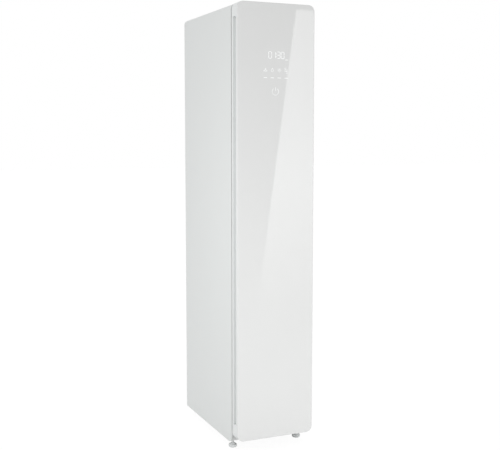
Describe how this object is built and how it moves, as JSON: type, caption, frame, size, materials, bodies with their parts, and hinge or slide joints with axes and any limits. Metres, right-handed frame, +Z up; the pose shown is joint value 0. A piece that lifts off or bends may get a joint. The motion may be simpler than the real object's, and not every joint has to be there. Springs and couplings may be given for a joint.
{
  "type": "clothes care steam cabinet",
  "caption": "Tall slim free-standing white cabinet that steams and shakes hanging clothes, with a full-height glass door hinged on the right and levelling feet.",
  "frame": {"origin": "on the floor, under the middle of the cabinet and its closed door", "axes": "+Z up, the door faces -Y, +X to the right of someone who faces the door"},
  "size_m": [0.345, 0.63, 1.85],
  "materials": {
    "painted_case": "satin white paint on steel sheet",
    "galvanised_steel": "galvanised sheet",
    "hinge_steel": "satin steel",
    "door_glass": "glossy glass with white backing",
    "door_trim": "satin white moulding",
    "door_lining": "vacuum-formed white plastic",
    "chamber_lining": "vacuum-formed white plastic",
    "insulating_foam": "rigid foam",
    "seal_rubber": "soft grey rubber",
    "press_pad": "grey heat-proof plate",
    "grey_plastic": "moulded grey plastic",
    "hanger_plastic": "dark grey moulded plastic",
    "tank_plastic": "translucent pale blue plastic",
    "foot_plastic": "light grey plastic",
    "lamp_lens": "frosted lens",
    "coil_aluminium": "bare fins",
    "compressor_black": "black enamel",
    "pipe_copper": "copper tube",
    "motor_metal": "plain metal case",
    "pump_plastic": "black plastic",
    "hose_rubber": "black rubber",
    "circuit_board": "green board"
  },
  "bodies": {
    "cabinet": {"cabinet_wrap": "painted_case", "rear_panel": "galvanised_steel", "service_cover": "galvanised_steel", "base_pan": "galvanised_steel", "foot_bushes": "galvanised_steel", "drive_bracket": "galvanised_steel", "top_hinge_bracket": "hinge_steel", "bottom_hinge_bracket": "hinge_steel", "hinge_pins": "hinge_steel", "case_screws": "hinge_steel", "steam_nozzle": "hinge_steel", "inner_liner": "chamber_lining", "chamber_ceiling": "chamber_lining", "cavity_floor": "chamber_lining", "front_frame": "chamber_lining", "tank_bay": "chamber_lining", "foam_insulation": "insulating_foam", "compressor_mounts": "seal_rubber", "power_inlet": "seal_rubber", "duct_housing": "grey_plastic", "bar_guides": "grey_plastic", "led_lamp": "lamp_lens", "evaporator": "coil_aluminium", "condenser": "coil_aluminium", "compressor": "compressor_black", "refrigerant_pipes": "pipe_copper", "steam_pipe": "pipe_copper", "fan_motor": "motor_metal", "shaker_motor": "motor_metal", "steam_generator": "motor_metal", "control_box": "motor_metal", "water_pump": "pump_plastic", "water_hoses": "hose_rubber", "drive_belt": "hose_rubber"},
    "door": {"door_glass": "door_glass", "display_board": "circuit_board", "door_grip_rail": "door_trim", "door_hinge_rail": "door_trim", "door_top_cap": "door_trim", "door_bottom_cap": "door_trim", "door_core": "insulating_foam", "door_inner_panel": "door_lining", "door_gasket": "seal_rubber", "hinge_bushes": "grey_plastic", "press_brackets": "door_lining"},
    "press_plate": {"press_plate": "press_pad"},
    "fan_impeller": {"fan_impeller": "grey_plastic"},
    "motor_pulley": {"motor_pulley": "grey_plastic"},
    "crank_pulley": {"crank_pulley": "grey_plastic"},
    "hanger_bar": {"hanger_bar": "hinge_steel"},
    "hanger_left": {"hanger_left": "hanger_plastic"},
    "hanger_right": {"hanger_right": "hanger_plastic"},
    "shelf": {"shelf": "grey_plastic"},
    "supply_tank": {"supply_tank": "tank_plastic"},
    "drain_tank": {"drain_tank": "tank_plastic"},
    "lint_filter": {"lint_filter": "grey_plastic"},
    "front_left_foot": {"front_left_foot": "foot_plastic"},
    "front_right_foot": {"front_right_foot": "foot_plastic"},
    "rear_left_foot": {"rear_left_foot": "foot_plastic"},
    "rear_right_foot": {"rear_right_foot": "foot_plastic"}
  },
  "joints": [
    {"name": "door_hinge", "type": "hinge", "parent": "cabinet", "child": "door", "pos_m": [0.1625, -0.286, 0.95], "axis": [0, 0, 1], "range_deg": [0, 110]},
    {"name": "press_hinge", "type": "hinge", "parent": "door", "child": "press_plate", "pos_m": [0.13, -0.215, 1.07], "axis": [0, 0, 1], "range_deg": [-90, 0]},
    {"name": "blower_shaft", "type": "hinge", "parent": "cabinet", "child": "fan_impeller", "pos_m": [-0.045, -0.025, 0.2515], "axis": [0, 0, 1], "continuous": true},
    {"name": "hanger_bar_slide", "type": "slide", "parent": "cabinet", "child": "hanger_bar", "axis": [1, 0, 0], "range_m": [-0.01414, 0.01414]},
    {"name": "crank_shaft", "type": "hinge", "parent": "cabinet", "child": "crank_pulley", "pos_m": [0, 0.03, 1.744], "axis": [0, 0, 1], "range_deg": [-46, 46]},
    {"name": "motor_shaft", "type": "hinge", "parent": "cabinet", "child": "motor_pulley", "pos_m": [0, 0.15, 1.744], "axis": [0, 0, 1], "range_deg": [-154, 154]},
    {"name": "left_hanger_swing", "type": "hinge", "parent": "hanger_bar", "child": "hanger_left", "pos_m": [-0.045, 0.03, 1.655], "axis": [1, 0, 0], "range_deg": [-12, 12]},
    {"name": "right_hanger_swing", "type": "hinge", "parent": "hanger_bar", "child": "hanger_right", "pos_m": [0.045, 0.03, 1.655], "axis": [1, 0, 0], "range_deg": [-12, 12]},
    {"name": "shelf_lift", "type": "slide", "parent": "cabinet", "child": "shelf", "axis": [0, 0, 1], "range_m": [0, 0.06]},
    {"name": "supply_tank_lift", "type": "slide", "parent": "cabinet", "child": "supply_tank", "axis": [0, 0, 1], "range_m": [0, 0.31]},
    {"name": "drain_tank_lift", "type": "slide", "parent": "cabinet", "child": "drain_tank", "axis": [0, 0, 1], "range_m": [0, 0.31]},
    {"name": "lint_filter_lift", "type": "slide", "parent": "cabinet", "child": "lint_filter", "axis": [0, 0, 1], "range_m": [0, 0.06]},
    {"name": "front_left_foot_screw", "type": "hinge", "parent": "cabinet", "child": "front_left_foot", "pos_m": [-0.1505, -0.207, 0.04], "axis": [0, 0, 1], "range_deg": [0, 2880]},
    {"name": "front_right_foot_screw", "type": "hinge", "parent": "cabinet", "child": "front_right_foot", "pos_m": [0.1505, -0.207, 0.04], "axis": [0, 0, 1], "range_deg": [0, 2880]},
    {"name": "rear_left_foot_screw", "type": "hinge", "parent": "cabinet", "child": "rear_left_foot", "pos_m": [-0.1125, 0.28, 0.04], "axis": [0, 0, 1], "range_deg": [0, 2880]},
    {"name": "rear_right_foot_screw", "type": "hinge", "parent": "cabinet", "child": "rear_right_foot", "pos_m": [0.1125, 0.28, 0.04], "axis": [0, 0, 1], "range_deg": [0, 2880]}
  ],
  "couplings": [
    {"joint": "crank_shaft", "follows": "hanger_bar_slide", "rad_per_m": 55.544},
    {"joint": "motor_shaft", "follows": "hanger_bar_slide", "rad_per_m": 186.83}
  ]
}
